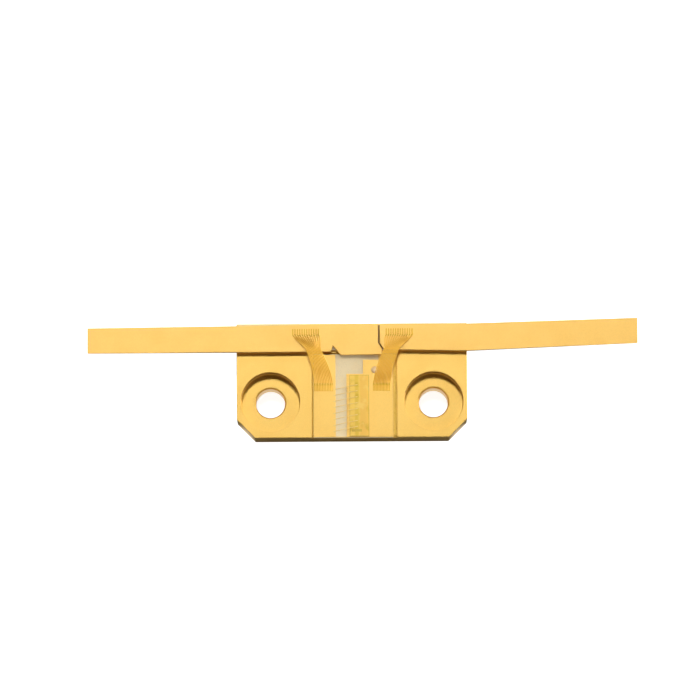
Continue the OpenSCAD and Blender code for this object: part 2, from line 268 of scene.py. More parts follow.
@dataclass(frozen=True)
class PlatedGold(Finish):
    """Satin gold plating over worked metal.

    Args:
        roughness: the mean roughness.
        grain: how the metal below was worked.
        relief_mm: depth of the working marks.
        patch: how strongly the patches show.
        recess_shade: its colour in the recess round the submount, a painted shade.
    """

    roughness: float
    grain: Grain
    relief_mm: float = 0.0012
    patch: float = 0.55
    recess_shade: Colour = (0.7, 0.42, 0.08)

    def make(self, seat: Optional[Span] = None) -> Material:
        """Returns the material.

        Args:
            seat: low and high corner of a recess whose plating is darkened with painted shade.
        """
        sheet = FinishSheet(self.name)
        place = sheet.place_mm()
        along = sheet.place_mm(self.grain.value)
        clouds = sheet.noise(place, 0.9, 4.0, 0.55)
        marks = sheet.noise(along, 1.0, 3.0, 0.6)
        plating = sheet.noise(place, 14.0, 4.0, 0.6)
        patches = clouds.between(0.35, 0.7) * self.patch + (marks - 0.5) * 0.25
        speck = plating.between(0.3, 0.75, 0.94, 1.0)
        colour = sheet.blend(self.tone, self.deep, patches)
        # painted shade: the plating in the recess round the submount turns darker
        if seat:
            colour = sheet.blend(colour, self.recess_shade, sheet.within(place, *seat))
        shade = sheet.add("ShaderNodeCombineColor", None, {"Red": speck, "Green": speck, "Blue": speck})
        colour = sheet.add(
            "ShaderNodeMix", {"data_type": "RGBA", "blend_type": "MULTIPLY"}, {0: 1.0, 6: colour, 7: shade}, 2
        )
        return sheet.finish(
            Base_Color=colour,
            Metallic=1.0,
            Roughness=self.roughness + (plating - 0.5) * 0.14 + (clouds - 0.5) * 0.1,
            Normal=sheet.bump(marks * 0.6 + plating * 0.4, self.relief_mm),
        )


@dataclass(frozen=True)
class DrawnWire(Finish):
    """Drawn gold wire, with faint die lines, and painted shade on its flat ends and on the bends beside them.

    Args:
        roughness: the mean roughness.
        foot_shade: its colour on the flat ends, a painted shade.
        heel_shade: its colour where the wire bends up from a flat end, a painted shade.
    """

    roughness: float
    foot_shade: Colour = (0.66, 0.38, 0.055)
    heel_shade: Colour = (0.62, 0.38, 0.035)

    def make(self, shaded_feet: Sequence[Span] = (), shaded_heels: Sequence[Span] = ()) -> Material:
        """Returns the material.

        Args:
            shaded_feet: low and high corner of each row of flat ends, which get painted shade.
            shaded_heels: low and high corner of each row of bends beside them, which get painted shade.
        """
        sheet = FinishSheet(self.name)
        place = sheet.place_mm()
        streaks = sheet.noise(sheet.place_mm((30.0, 2.5, 30.0)), 1.0, 2.0)
        wear = sheet.noise(place, 3.0, 3.0)
        colour = sheet.blend(self.tone, self.deep, streaks * 0.6 + wear * 0.4)
        # painted shade: the flat wire ends and the bends beside them turn darker
        for low, high in shaded_feet:
            colour = sheet.blend(colour, self.foot_shade, sheet.within(place, low, high, 0.05) * 0.8)
        for low, high in shaded_heels:
            colour = sheet.blend(colour, self.heel_shade, sheet.within(place, low, high, 0.04) * 0.9)
        return sheet.finish(
            Base_Color=colour,
            Metallic=1.0,
            Roughness=self.roughness + (wear - 0.5) * 0.12,
            Normal=sheet.bump(streaks, 0.0006),
        )


@dataclass(frozen=True)
class GroundCeramic(Finish):
    """Fine-grained white ceramic, ground flat.

    Args:
        warm: the colour of the faint stain in its clouds.
        stain_and_shade: its colour in the given boxes, where plating has run over it; the dark default is a
            painted shade for a narrow gap.
    """

    warm: Colour
    stain_and_shade: Colour = (0.3, 0.17, 0.05)

    def make(self, stain_and_shade_boxes: Sequence[Span]) -> Material:
        """Returns the material.

        Args:
            stain_and_shade_boxes: low and high corner of each box that takes that colour: plating stains on
                the submount, painted shade in the insulator's slit.
        """
        sheet = FinishSheet(self.name)
        place = sheet.place_mm()
        grains = sheet.cells(place, 22.0)
        clouds = sheet.noise(place, 1.6, 4.0, 0.6)
        pits = sheet.noise(place, 30.0, 3.0, 0.6)
        stained = sheet.blend(self.tone, self.warm, clouds.between(0.42, 0.72) * 0.5)
        colour = sheet.blend(stained, self.deep, grains.between(0.5, 1.0) * 0.35)
        # each box takes that colour: plating run on the submount's margins, painted shade in the slit between
        # the leads
        for low, high in stain_and_shade_boxes:
            colour = sheet.blend(colour, self.stain_and_shade, sheet.within(place, low, high))
        return sheet.finish(
            Base_Color=colour,
            Roughness=0.55 + (grains - 0.5) * 0.16,
            Specular_IOR_Level=0.5,
            Normal=sheet.bump(grains * 0.5 + pits * 0.5, 0.0015),
        )


@dataclass(frozen=True)
class DullSolder(Finish):
    """Reflowed solder that has lost its shine.

    Args:
        metal: how metallic it looks through its skin.
    """

    metal: float = 0.9

    def make(self) -> Material:
        """Returns the material."""
        sheet = FinishSheet(self.name)
        place = sheet.place_mm()
        crystals = sheet.cells(place, 26.0)
        dross = sheet.noise(place, 9.0, 4.0, 0.6)
        return sheet.finish(
            Base_Color=sheet.blend(self.tone, self.deep, dross.between(0.45, 0.8)),
            Metallic=self.metal,
            Roughness=0.36 + crystals * 0.2,
            Normal=sheet.bump(crystals * 0.4 + dross * 0.6, 0.004),
        )


@dataclass(frozen=True)
class CleavedDie(Finish):
    """Cleaved semiconductor, glossy and dark, with faint step lines on its facets."""

    def make(self) -> Material:
        """Returns the material."""
        sheet = FinishSheet(self.name)
        steps = sheet.noise(sheet.place_mm((20.0, 2.0, 4.0)), 1.0, 3.0)
        clouds = sheet.noise(sheet.place_mm(), 4.0, 3.0)
        return sheet.finish(
            Base_Color=sheet.blend(self.tone, self.deep, clouds.between(0.3, 0.7)),
            Metallic=0.75,
            Roughness=0.24 + steps * 0.14,
            Normal=sheet.bump(steps, 0.0008),
        )


@dataclass(frozen=True)
class ContactGold(Finish):
    """Plated gold on the chip: an olive field, a darker ridge line and paler probe marks.

    Args:
        far: colour of the half beyond the ridge.
        edge: colour of the strip along the far edge.
        spot: colour of the darker spots.
        pale: colour of the rubbed patches.
        ridge: X of the ridge's centre line.
        right: X of the chip's right edge.
        front: Y of its emitting face.
        marks_mm: distances of the two darker marks on the ridge from that face.
    """

    far: Colour
    edge: Colour
    spot: Colour
    pale: Colour
    ridge: float
    right: float
    front: float
    marks_mm: tuple[float, ...] = (2.22, 2.86)

    def make(self) -> Material:
        """Returns the material."""
        sheet = FinishSheet(self.name)
        place = sheet.place_mm()
        x, y = sheet.axis(place, "X"), sheet.axis(place, "Y")
        ridge_mm = self.ridge / MM
        right_mm = self.right / MM
        wobble = (sheet.noise(place, 2.2, 3.0) - 0.5) * 0.12
        far = (x + wobble).between(ridge_mm + 0.12, ridge_mm + 0.22)
        edge = (x + wobble).between(right_mm - 0.22, right_mm - 0.08)
        line = 1.0 - abs(x + wobble * 0.4 - ridge_mm).between(0.05, 0.16)
        blobs = sheet.noise(sheet.place_mm((1.6, 1.1, 1.0)), 1.5, 3.0, 0.6)
        grains = sheet.cells(place, 30.0)
        colour = sheet.blend(self.tone, self.far, far)
        colour = sheet.blend(colour, self.edge, edge * 0.8)
        colour = sheet.blend(colour, self.deep, line * 0.8)
        colour = sheet.blend(colour, self.spot, blobs.between(0.52, 0.72) * 0.55)
        colour = sheet.blend(colour, self.pale, sheet.noise(place, 2.1, 2.0).between(0.54, 0.68) * 0.7)
        beside = abs(x + wobble - ridge_mm).between(0.03, 0.14)
        for mark in self.marks_mm:
            away = abs(y + wobble - (self.front / MM + mark)).between(0.05, 0.17)
            colour = sheet.blend(colour, self.spot, (1.0 - beside) * (1.0 - away) * 0.85)
        return sheet.finish(
            Base_Color=colour,
            Metallic=1.0,
            Roughness=0.36 + (blobs - 0.5) * 0.06,
            Normal=sheet.bump(grains * 0.4 + blobs * 0.6, 0.0012),
        )


@dataclass(frozen=True)
class StagePaper(Finish):
    """Plain pale paper under and behind the part. It can't be seen from below.

    Args:
        glow: how much it shines of itself.
    """

    glow: float

    def make(self, dark: Optional[Span] = None, fade_mm: float = 1.0) -> Material:
        """Returns the material.

        Args:
            dark: low and high corner of a painted shadow on the paper, which is near black there and does not
                shine.
            fade_mm: width of the change round it.
        """
        sheet = FinishSheet(self.name)
        place = sheet.place_mm()
        clouds = sheet.noise(place, 0.03, 3.0)
        colour = sheet.blend(self.tone, self.deep, clouds * 0.5)
        shine: Input = (1.0, 1.0, 1.0)
        # painted shadow: inside the box the paper turns near black and stops shining
        if dark:
            shadow = sheet.within(place, *dark, fade_mm)
            colour = sheet.blend(colour, (0.05, 0.05, 0.05), shadow)
            shine = sheet.blend(shine, (0.0, 0.0, 0.0), shadow)
        below = sheet.add("ShaderNodeNewGeometry", output="Backfacing")
        return sheet.finish(
            Base_Color=colour,
            Roughness=0.85,
            Specular_IOR_Level=0.2,
            Emission_Color=shine,
            Emission_Strength=self.glow,
            Alpha=1.0 - below,
        )


# Mesh work


def place_in_scene(name: str, data: bpy.types.ID) -> Object:
    """Returns a new object of the scene with some data."""
    piece = bpy.data.objects.new(name, data)
    bpy.context.scene.collection.objects.link(piece)
    return piece


def new_piece(name: str, vertices: Iterable[Vector], faces: Iterable[Sequence[int]]) -> Object:
    """Makes a mesh object in the scene.

    Args:
        name: the object's name.
        vertices: its points.
        faces: its faces, as numbers of points.

    Returns:
        The object.
    """
    mesh = bpy.data.meshes.new(name)
    mesh.from_pydata([tuple(v) for v in vertices], [], [tuple(f) for f in faces])
    mesh.update()
    return place_in_scene(name, mesh)


def prism(name: str, outline: Sequence[Sequence[float]], low: float, high: float) -> Object:
    """Makes an upright prism.

    Args:
        name: the object's name.
        outline: its corners seen from above, anticlockwise.
        low: Z of its base.
        high: Z of its top.

    Returns:
        The object.
    """
    count = len(outline)
    vertices = [Vector((x, y, low)) for x, y in outline] + [Vector((x, y, high)) for x, y in outline]
    walls = [(i, (i + 1) % count, count + (i + 1) % count, count + i) for i in range(count)]
    return new_piece(name, vertices, [range(count - 1, -1, -1), range(count, 2 * count), *walls])


def tube_faces(sides: int, rings: int) -> list[Sequence[int]]:
    """Returns the faces of a closed tube.

    Args:
        sides: how many points a ring has.
        rings: how many rings there are.

    Returns:
        The two ends and then the walls.
    """
    faces: list[Sequence[int]] = [range(sides - 1, -1, -1), range((rings - 1) * sides, rings * sides)]
    for start in range(0, (rings - 1) * sides, sides):
        for i in range(sides):
            j = (i + 1) % sides
            faces.append((start + i, start + j, start + sides + j, start + sides + i))
    return faces


def disc_outline(centre: Vector, radius: float, sides: int) -> list[tuple[float, float]]:
    """Returns points round a circle, anticlockwise."""
    turns = [2 * math.pi * i / sides for i in range(sides)]
    return [(centre.x + radius * math.cos(a), centre.y + radius * math.sin(a)) for a in turns]


def carve(piece: Object, cutters: Sequence[Object]) -> None:
    """Cuts shapes out of a piece and removes the cutters.

    Args:
        piece: what is cut.
        cutters: the shapes that are cut away.
    """
    for cutter in cutters:
        modifier = piece.modifiers.new("cut", "BOOLEAN")
        modifier.operation = "DIFFERENCE"
        modifier.solver = "EXACT"
        modifier.object = cutter
    settle(piece)
    for cutter in cutters:
        bpy.data.objects.remove(cutter)


def settle(piece: Object) -> None:
    """Turns a piece's modifiers into its mesh.

    Args:
        piece: the object.
    """
    graph = bpy.context.evaluated_depsgraph_get()
    mesh = bpy.data.meshes.new_from_object(piece.evaluated_get(graph))
    piece.modifiers.clear()
    piece.data = mesh


def recast(node: str, name: str, edge_mm: float, segments: int = 2) -> Object:
    """Makes a piece with the shape of a flat-faced solid of the frame and broken edges.

    Args:
        node: the solid.
        name: the new piece's name.
        edge_mm: width of the broken edges.
        segments: how many strips each edge gets.

    Returns:
        The piece.
    """
    shape = bmesh.new()
    shape.from_mesh(frame["nodes"][node].data)
    bmesh.ops.remove_doubles(shape, verts=shape.verts[:], dist=1e-7)
    bmesh.ops.dissolve_limit(shape, angle_limit=math.radians(1), verts=shape.verts[:], edges=shape.edges[:])
    shape.verts.ensure_lookup_table()
    vertices = [v.co.copy() for v in shape.verts]
    faces = [[v.index for v in f.verts] for f in shape.faces]
    shape.free()
    piece = new_piece(name, vertices, faces)
    round_edges(piece, edge_mm * MM, segments)
    return piece


def round_edges(piece: Object, width: float, segments: int = 3) -> None:
    """Breaks a piece's sharp edges and shades it smooth between them.

    Args:
        piece: the object.
        width: width of the broken edge.
        segments: how many strips the edge gets.
    """
    bevel = piece.modifiers.new("edges", "BEVEL")
    bevel.width = width
    bevel.segments = segments
    bevel.limit_method = "ANGLE"
    bevel.angle_limit = math.radians(30)
    bevel.harden_normals = True
    piece.data.polygons.foreach_set("use_smooth", [True] * len(piece.data.polygons))
    settle(piece)


def dress(piece: Object, material: Material) -> None:
    """Gives a piece one material."""
    piece.data.materials.clear()
    piece.data.materials.append(material)


def adopt(piece: Object, material: Material, slot: str, *nodes: str) -> None:
    """Finishes a piece and puts it in the place of solids of the frame.

    Args:
        piece: the object.
        material: its finish.
        slot: the record's material slot; not used.
        *nodes: the solids that it stands for.
    """
    dress(piece, material)
    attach(piece, BODY)
    if nodes:
        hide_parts(*nodes)
    LOG.info("%s stands for %s", piece.name, ", ".join(nodes) or "no solid")


def edge_strip(node: str, left: float, right: float, front: float, back: float, depth_mm: float) -> Span:
    """Returns a box over part of a solid's top."""
    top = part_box(node)[1].z
    return Vector((left, front, top - depth_mm * MM)), Vector((right, back, top + MM))


def mix(first: float, second: float, share: float) -> float:
    """Returns the value between two others."""
    return first + (second - first) * share


def ease(share: float) -> float:
    """Returns a share from 0 to 1, eased at both ends."""
    return share * share * (3 - 2 * share)


# Sub-assemblies


@dataclass
class HeatSinkBlock:
    """The plated copper block with its counterbored screw holes and the submount's seat.

    Args:
        corner_bevel_mm: leg of the bevel on each front corner.
        counterbore_mm: diameter of the counterbores.
        counterbore_depth_mm: their depth.
        hole_break_mm: broken edge where each screw hole meets its counterbore.
        seat_gap_left_mm: gap beside the submount on the left.
        seat_gap_right_mm: gap beside it on the right.
        seat_gap_back_mm: gap behind it.
        edge_mm: width of the broken edges.
        sides: points round each hole.
    """

    corner_bevel_mm: float = 1.0
    counterbore_mm: float = 3.25
    counterbore_depth_mm: float = 0.9
    hole_break_mm: float = 0.06
    seat_gap_left_mm: float = 0.05
    seat_gap_right_mm: float = 0.2
    seat_gap_back_mm: float = 0.04
    edge_mm: float = 0.03
    sides: int = 128
    node: str = "heat_sink_block"
    finish: PlatedGold = PlatedGold(
        "plated_block_gold", (0.945, 0.61, 0.16), (0.92, 0.57, 0.138), 0.36, Grain.MILLED, 0.002
    )

    def _outline(self) -> list[tuple[float, float]]:
        """Returns the block's corners from above, anticlockwise."""
        (left, front, _), (right, back, _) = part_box(self.node)
        leg = self.corner_bevel_mm * MM
        bevels = [(left + leg, front), (right - leg, front), (right, front + leg)]
        return [*bevels, (right, back), (left, back), (left, front + leg)]

    def _hole_cutters(self) -> list[Object]:
        """Returns the shapes that open the two screw holes."""
        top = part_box(self.node)[1].z
        mount = next(m for m in frame["record"]["mounts"] if m["name"] == "mounting_holes")
        radius = mount["dims"]["hole_r_mm"] * MM
        pitch = mount["dims"]["spacing_x_mm"] * MM
        middle = Vector(mount["pos_m"])
        floor = top - self.counterbore_depth_mm * MM
        cone = self.hole_break_mm * MM
        cutters = []
        for side in (-1, 1):
            centre = middle + Vector((side * pitch / 2, 0, 0))
            well = disc_outline(centre, self.counterbore_mm * MM / 2, self.sides)
            cutters.append(prism("well", well, floor, top + MM))
            cutters.append(prism("hole", disc_outline(centre, radius, self.sides), -MM, floor + cone))
            rings = [(radius, floor - cone), (radius + cone, floor), (radius + cone, floor + cone)]
            cutters.append(self._turned("break", centre, rings))
        return cutters

    def _turned(self, name: str, centre: Vector, rings: Sequence[tuple[float, float]]) -> Object:
        """Returns a closed turned shape."""
        vertices = [
            Vector((x, y, z)) for radius, z in rings for x, y in disc_outline(centre, radius, self.sides)
        ]
        return new_piece(name, vertices, tube_faces(self.sides, len(rings)))

    def _seat_cutter(self) -> Object:
        """Returns the shape that opens the submount's seat."""
        low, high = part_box(self.node)
        near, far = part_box("submount")
        film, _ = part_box("submount_solder")
        left = near.x - self.seat_gap_left_mm * MM
        right = far.x + self.seat_gap_right_mm * MM
        back = far.y + self.seat_gap_back_mm * MM
        outline = [(left, low.y - MM), (right, low.y - MM), (right, back), (left, back)]
        return prism("seat", outline, film.z, high.z + MM)

    def build(self) -> None:
        """Makes the block."""
        low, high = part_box(self.node)
        block = prism("plated_block", self._outline(), low.z, high.z)
        carve(block, [*self._hole_cutters(), self._seat_cutter()])
        round_edges(block, self.edge_mm * MM)
        seat_low, seat_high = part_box("submount")
        margin, reach = 2 * self.seat_gap_right_mm * MM, 0.03 * MM
        # box of the recess round the submount, whose plating gets painted shade
        seat = (
            Vector((seat_low.x - margin, low.y + reach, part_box("submount_solder")[0].z - reach)),
            Vector((seat_high.x + margin, seat_high.y + margin, high.z - reach)),
        )
        adopt(block, self.finish.make(seat), "block_gold", self.node)


@dataclass
class SolderRuns:
    """The gold-tin solder that has been squeezed up in the gaps beside the submount.

    Args:
        below_top_mm: how far below the block's top it stands at the walls.
        sag: how much lower it is in the middle, as a share of the gap.
        ripple_mm: how uneven its height is along the gap.
        nose_mm: length over which it falls away at the front.
        across: strips across a gap.
        along: strips along it.
    """

    below_top_mm: float = 0.01
    sag: float = 0.07
    ripple_mm: float = 0.004
    nose_mm: float = 0.035
    across: int = 8
    along: int = 90
    finish: DullSolder = DullSolder("gold_tin_solder", (0.88, 0.57, 0.12), (0.78, 0.49, 0.095), 1.0)

    def _run(self, name: str, left: float, right: float) -> Object:
        """Makes the solder in one gap.

        Args:
            name: the piece's name.
            left: X of the gap's left wall.
            right: X of its right wall.

        Returns:
            The piece.
        """
        floor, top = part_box("submount_solder")[0].z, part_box("heat_sink_block")[1].z
        low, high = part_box("submount")
        length = high.y - low.y - 2 * self.nose_mm * MM
        start = low.y + self.nose_mm * MM
        nose_length = self.nose_mm * MM

        def height(u: float, v: float) -> float:
            """Returns the solder's height at a share of the gap's width and a place along it."""
            ripple = math.sin(v / MM * 5.1) + 0.6 * math.sin(v / MM * 11.7 + 1.3 + 2 * u)
            full = top - self.sag * (right - left) * (1 - abs(2 * u - 1) ** 2)
            full -= (self.below_top_mm + self.ripple_mm * (1 + ripple / 1.6)) * MM
            nose = ease(min(v / nose_length, 1.0)) * ease(min((length - v) / nose_length, 1.0))
            return mix(floor, full, 0.15 + 0.85 * nose)

        vertices = []
        for level in (True, False):
            for j in range(self.along + 1):
                for i in range(self.across + 1):
                    u, v = i / self.across, length * j / self.along
                    z = height(u, v) if level else floor
                    vertices.append(Vector((mix(left, right, u), start + v, z)))
        row, under = self.across + 1, (self.across + 1) * (self.along + 1)
        faces: list[Sequence[int]] = []
        for j in range(self.along):
            for i in range(self.across):
                a = j * row + i
                faces.append((a, a + 1, a + row + 1, a + row))
                faces.append((under + a, under + a + row, under + a + row + 1, under + a + 1))
            a, b = j * row, j * row + self.across
            faces.append((a, a + row, under + a + row, under + a))
            faces.append((b, under + b, under + b + row, b + row))
        for i in range(self.across):
            a, b = i, self.along * row + i
            faces.append((a, under + a, under + a + 1, a + 1))
            faces.append((b, b + 1, under + b + 1, under + b))
        piece = new_piece(name, vertices, faces)
        piece.data.polygons.foreach_set("use_smooth", [True] * len(faces))
        return piece

    def build(self, block: HeatSinkBlock) -> None:
        """Makes the solder in both gaps.

        Args:
            block: the block that has the seat.
        """
        low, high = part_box("submount")
        tin = self.finish.make()
        left = self._run("left_solder_run", low.x - block.seat_gap_left_mm * MM, low.x)
        right = self._run("right_solder_run", high.x, high.x + block.seat_gap_right_mm * MM)
        for piece in (left, right):
            adopt(piece, tin, "solder")


@dataclass
class RibbonLeads:
    """The two flat ribbon leads on their ceramic insulator, with the solder between.

    Args:
        edge_mm: width of the leads' broken edges.
        ceramic_edge_mm: width of the insulator's broken edges.
    """

    edge_mm: float = 0.025
    ceramic_edge_mm: float = 0.012
    finish: PlatedGold = PlatedGold(
        "plated_lead_gold", (0.93, 0.58, 0.16), (0.91, 0.55, 0.14), 0.36, Grain.ROLLED, 0.0015
    )

    def build(self, ceramic: Material, solder: Material) -> None:
        """Makes the leads and the insulator, and finishes the solder films.

        Args:
            ceramic: the ceramic's finish.
            solder: the solder's finish.
        """
        gold = self.finish.make()
        for node in ("left_lead", "right_lead"):
            lead = recast(node, f"{node}_ribbon", self.edge_mm, 3)
            adopt(lead, gold, "lead_gold", node)
        insulator = recast("lead_insulator", "insulator_plate", self.ceramic_edge_mm)
        adopt(insulator, ceramic, "ceramic", "lead_insulator")
        for name in ("insulator_solder", "left_lead_solder", "right_lead_solder"):
            dress(frame["nodes"][name], solder)


@dataclass
class ChipOnSubmount:
    """The ceramic submount with its pads, and the laser chip on them.

    Args:
        ceramic_edge_mm: width of the submount's broken edges.
        pad_edge_mm: width of the pads' rounded edges.
        die_edge_mm: width of the chip's broken edges.
        contact_edge_mm: width of the contact's rounded edges.
        ridge_offset_mm: distance from the chip's left edge to the ridge's centre line.
    """

    ceramic_edge_mm: float = 0.012
    pad_edge_mm: float = 0.006
    die_edge_mm: float = 0.0015
    contact_edge_mm: float = 0.0015
    ridge_offset_mm: float = 0.4
    pad_finish: PlatedGold = PlatedGold(
        "pad_gold", (0.95, 0.61, 0.163), (0.93, 0.58, 0.145), 0.36, Grain.SPUTTERED, 0.0008, 0.4
    )
    die_finish: CleavedDie = CleavedDie("cleaved_die", (0.62, 0.4, 0.07), (0.52, 0.33, 0.05))

    def build(self, ceramic: Material, solder: Material) -> None:
        """Makes the submount, its pads and the chip, and finishes the solder films.

        Args:
            ceramic: the ceramic's finish.
            solder: the solder's finish.
        """
        pad_gold = self.pad_finish.make()
        pieces = (
            ("submount", "submount_plate", self.ceramic_edge_mm, "ceramic", ceramic),
            ("left_pad", "left_pad_film", self.pad_edge_mm, "pad_gold", pad_gold),
            ("chip_pad", "chip_pad_film", self.pad_edge_mm, "pad_gold", pad_gold),
            ("laser_chip", "die", self.die_edge_mm, "die", self.die_finish.make()),
            ("chip_contact", "die_contact", self.contact_edge_mm, "contact", self._contact_finish()),
        )
        for node, name, edge_mm, slot, material in pieces:
            adopt(recast(node, name, edge_mm), material, slot, node)
        for name in ("submount_solder", "chip_solder"):
            dress(frame["nodes"][name], solder)

    def _contact_finish(self) -> Material:
        """Returns the finish of the gold contact on the chip."""
        low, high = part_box("laser_chip")
        tones = (0.81, 0.49, 0.103), (0.87, 0.535, 0.107), (0.56, 0.36, 0.042), (0.87, 0.61, 0.17)
        ridge = low.x + self.ridge_offset_mm * MM
        finish = ContactGold(
            "contact_gold", (0.84, 0.567, 0.118), (0.68, 0.45, 0.068), *tones, ridge, high.x, low.y
        )
        return finish.make()


@dataclass
class SolderBead:
    """The small bead of solder beside the chip, with a flat fillet round its foot.

    Args:
        rings: rings from the top of the bead to its foot.
        sides: points round the bead.
        lumpy: how uneven its outline is, as a share of its radius.
    """

    rings: int = 12
    sides: int = 40
    lumpy: float = 0.06
    node: str = "solder_bead"

    def build(self, solder: Material) -> None:
        """Makes the bead.

        Args:
            solder: the solder's finish.
        """
        low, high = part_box(self.node)
        middle = (low + high) / 2
        radius = (high.x - low.x) / 2
        height = high.z - low.z
        vertices = [Vector((middle.x, middle.y, high.z))]
        for ring in range(1, self.rings + 1):
            share = ring / self.rings
            fall = math.cos(share**1.7 * math.pi / 2) ** 0.8 if ring < self.rings else 0.0
            for i in range(self.sides):
                turn = 2 * math.pi * i / self.sides
                wave = math.cos(3 * turn + 0.7) + 0.6 * math.cos(5 * turn)
                reach = radius * share * (1 - self.lumpy * share * (1 + wave / 1.6) / 2)
                x, y = middle.x + reach * math.cos(turn), middle.y + reach * math.sin(turn)
                vertices.append(Vector((x, y, low.z + height * fall)))
        n = self.sides
        faces: list[Sequence[int]] = [(0, 1 + i, 1 + (i + 1) % n) for i in range(n)]
        for ring in range(self.rings - 1):
            start = 1 + ring * n
            faces += [
                (start + i, start + n + i, start + n + (i + 1) % n, start + (i + 1) % n) for i in range(n)
            ]
        last = 1 + (self.rings - 1) * n
        faces.append([last + i for i in range(n - 1, -1, -1)])
        bead = new_piece("solder_drop", vertices, faces)
        bead.data.polygons.foreach_set("use_smooth", [True] * (len(faces) - 1) + [False])
        adopt(bead, solder, "solder", self.node)


@dataclass
class BondWire:
    """A round wire with a flattened, wedge-shaped foot at each end.

    Args:
        diameter_mm: the wire's diameter.
        foot_mm: length of each foot.
        foot_flat: height of a foot, as a share of the diameter.
        foot_wide: width of a foot, as a share of the diameter.
        sides: points round the wire.
        steps: rings along the loop.
    """

    diameter_mm: float
    foot_mm: float
    foot_flat: float = 0.6
    foot_wide: float = 1.5
    sides: int = 12
    steps: int = 40

    def _squash(self, along: float) -> float:
        """Returns how flat the wire is, from 0 where it is round to 1 on a foot."""
        reach = self.diameter_mm * MM * 1.6
        return 1.0 - ease(min(max(along / reach, 0.0), 1.0))

    def _foot(self, heel: Vector, away: Vector) -> list[tuple[Vector, float, float]]:
        """Returns the rings of a foot, from its tail to its heel.

        Args:
            heel: the foot's inner end.
            away: direction from the heel to the tail.

        Returns:
            Centre, width and height of each ring.
        """
        d = self.diameter_mm * MM
        length = self.foot_mm * MM
        wide, flat = self.foot_wide * d, self.foot_flat * d
        profile = [(1.0, 0.7, 0.35), (0.97, 0.86, 0.7), (0.88, 0.97, 0.9), (0.7, 1.0, 0.86), (0.3, 1.0, 0.86)]
        rings = []
        for place, width, height in profile:
            drop = Vector((0, 0, -flat * (1 - height) / 2))
            rings.append((heel + away * (length * place) + drop, wide * width, flat * height))
        rings.append((heel + away * (length * 0.1), wide, flat))
        return rings

    def sweep(
        self, name: str, start: Vector, end: Vector, run: Callable[[float], Vector], away: Vector
    ) -> Object:
        """Makes the wire's mesh.

        Args:
            name: the object's name.
            start: heel of the first foot.
            end: heel of the second foot.
            run: point of the loop at a share from 0 to 1.
            away: direction from the first heel to its foot's tail.

        Returns:
            The wire.
        """
        d = self.diameter_mm * MM
        rings = self._foot(start, away)
        points = [run(step / self.steps) for step in range(self.steps + 1)]
        lengths = [0.0]
        for before, after in zip(points, points[1:]):
            lengths.append(lengths[-1] + (after - before).length)
        for point, length in zip(points, lengths):
            flat = max(self._squash(length), self._squash(lengths[-1] - length))
            rings.append((point, mix(d, d * self.foot_wide, flat), mix(d, d * self.foot_flat, flat)))
        rings += list(reversed(self._foot(end, -away)))
        return self._skin(name, rings)

    def _skin(self, name: str, rings: Sequence[tuple[Vector, float, float]]) -> Object:
        """Makes a closed skin over a row of rings.

        Args:
            name: the object's name.
            rings: centre, width and height of each ring.

        Returns:
            The object.
        """
        n = self.sides
        vertices: list[Vector] = []
        for index, (centre, wide, high) in enumerate(rings):
            before = rings[max(index - 1, 0)][0]
            after = rings[min(index + 1, len(rings) - 1)][0]
            ahead = (after - before).normalized()
            side = ahead.cross(Vector((0, 0, 1))).normalized()
            up = side.cross(ahead)
            for i in range(n):
                turn = 2 * math.pi * (i + 0.5) / n - math.pi / 2
                vertices.append(centre + side * (wide / 2 * math.cos(turn)) + up * (high / 2 * math.sin(turn)))
        wire = new_piece(name, vertices, tube_faces(n, len(rings)))
        wire.data.polygons.foreach_set("use_smooth", [True] * len(wire.data.polygons))
        return wire


